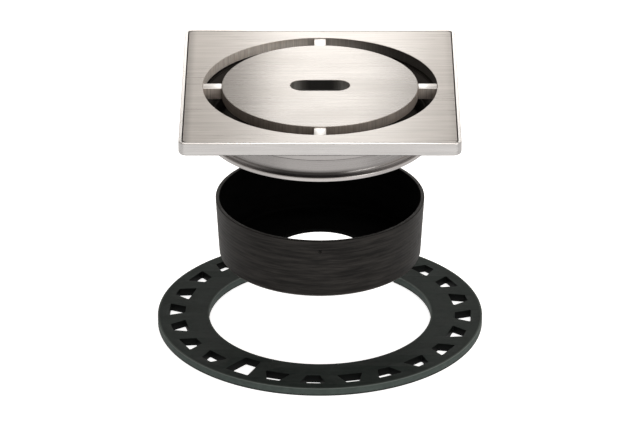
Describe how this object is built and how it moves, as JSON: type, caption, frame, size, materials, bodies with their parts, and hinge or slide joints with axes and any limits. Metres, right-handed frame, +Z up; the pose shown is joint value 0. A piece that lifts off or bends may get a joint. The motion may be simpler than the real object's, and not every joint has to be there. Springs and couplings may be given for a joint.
{
  "type": "point drain grate kit",
  "caption": "Square brushed steel floor drain grate in a tray with a round collar, drawn apart above a cup shaped height ring and a flat windowed adjustment ring.",
  "frame": {"origin": "centre of the adjustment ring's underside, at the base of the whole kit", "axes": "+Z up along the common axis of every stage, -Y towards the front bridge bar and the pilot hole, +X to the right along the brushing"},
  "size_m": [0.12, 0.12, 0.0952],
  "materials": {
    "plate_brushed_steel": "brushed along X",
    "disc_brushed_steel": "brushed along X",
    "bar_steel": "ground bright",
    "tray_steel": "satin, brushed along each side",
    "collar_steel": "spun, semi-bright",
    "ring_black_plastic": "satin, fine turning lines",
    "ring_grey_green_plastic": "satin moulded",
    "pad_rubber": "matt"
  },
  "bodies": {
    "mortar_ring": {"adjustment_ring": "ring_grey_green_plastic"},
    "height_stage": {"height_ring": "ring_black_plastic"},
    "collar_stage": {"frame_collar": "collar_steel"},
    "tray_stage": {"frame_tray": "tray_steel"},
    "grate_stage": {"grate_plate": "plate_brushed_steel", "grate_disc": "disc_brushed_steel", "bridge_bar_front": "bar_steel", "bridge_bar_rear": "bar_steel", "bridge_bar_left": "bar_steel", "bridge_bar_right": "bar_steel", "rest_pad_front_left": "pad_rubber", "rest_pad_front_right": "pad_rubber", "rest_pad_rear_left": "pad_rubber", "rest_pad_rear_right": "pad_rubber"}
  },
  "joints": [
    {"name": "ring_drop", "type": "slide", "parent": "mortar_ring", "child": "height_stage", "axis": [0, 0, 1], "range_m": [-0.0273, 0]},
    {"name": "collar_slide", "type": "slide", "parent": "height_stage", "child": "collar_stage", "axis": [0, 0, 1], "range_m": [-0.0249, 0]},
    {"name": "tray_turn", "type": "hinge", "parent": "collar_stage", "child": "tray_stage", "pos_m": [0, 0, 0.0902], "axis": [0, 0, 1], "continuous": true},
    {"name": "grate_lift", "type": "slide", "parent": "tray_stage", "child": "grate_stage", "axis": [0, 0, 1], "range_m": [0, 0.03]}
  ]
}
